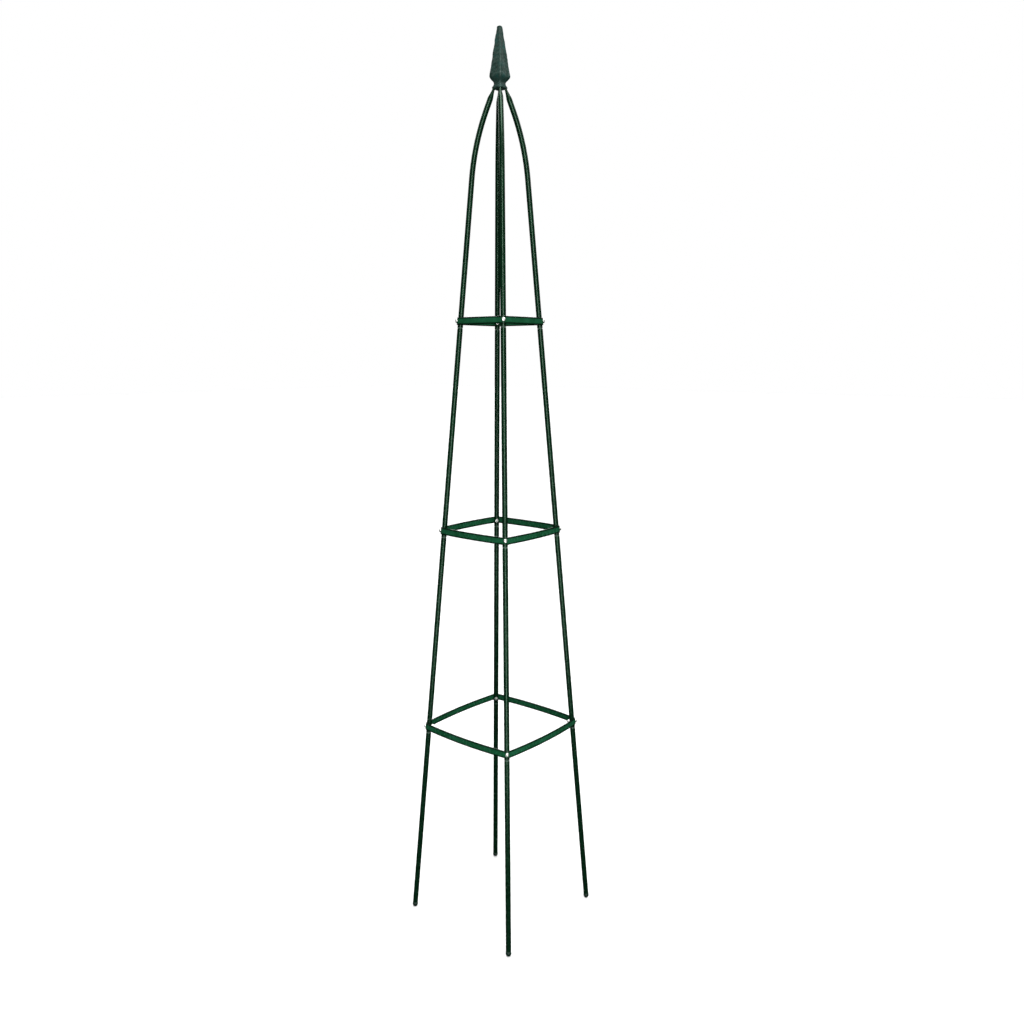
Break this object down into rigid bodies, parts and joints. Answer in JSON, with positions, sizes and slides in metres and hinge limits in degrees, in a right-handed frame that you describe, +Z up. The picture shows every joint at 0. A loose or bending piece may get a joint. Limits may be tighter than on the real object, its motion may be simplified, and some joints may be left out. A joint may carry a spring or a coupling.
{
  "type": "garden obelisk",
  "caption": "Tall slim four-sided plant climbing frame of leaning coated tube legs, held by flat square bands and gathered under a spearhead finial.",
  "frame": {"origin": "on the ground, midway between the four feet", "axes": "+Z up along the obelisk, +X to the right and -Y to the front, both parallel to the sides of the bands"},
  "size_m": [0.31, 0.31, 2],
  "materials": {
    "tube_coating": "dark green semi-gloss coating",
    "band_coating": "dark green semi-gloss coating",
    "finial_resin": "grey-green matt, with a hammered look",
    "cap_plastic": "very dark green satin",
    "zinc_fasteners": "bright zinc plate"
  },
  "bodies": {
    "root": {"back_right_foot_cap": "cap_plastic", "back_right_foot_tube": "tube_coating", "back_right_lower_tube": "tube_coating", "back_right_upper_tube": "tube_coating", "back_right_top_tube": "tube_coating", "back_left_foot_cap": "cap_plastic", "back_left_foot_tube": "tube_coating", "back_left_lower_tube": "tube_coating", "back_left_upper_tube": "tube_coating", "back_left_top_tube": "tube_coating", "front_left_foot_cap": "cap_plastic", "front_left_foot_tube": "tube_coating", "front_left_lower_tube": "tube_coating", "front_left_upper_tube": "tube_coating", "front_left_top_tube": "tube_coating", "front_right_foot_cap": "cap_plastic", "front_right_foot_tube": "tube_coating", "front_right_lower_tube": "tube_coating", "front_right_upper_tube": "tube_coating", "front_right_top_tube": "tube_coating", "bottom_band": "band_coating", "bottom_band_screws": "zinc_fasteners", "bottom_band_nuts": "zinc_fasteners", "middle_band": "band_coating", "middle_band_screws": "zinc_fasteners", "middle_band_nuts": "zinc_fasteners", "top_band": "band_coating", "top_band_screws": "zinc_fasteners", "top_band_nuts": "zinc_fasteners", "finial": "finial_resin"}
  },
  "joints": []
}
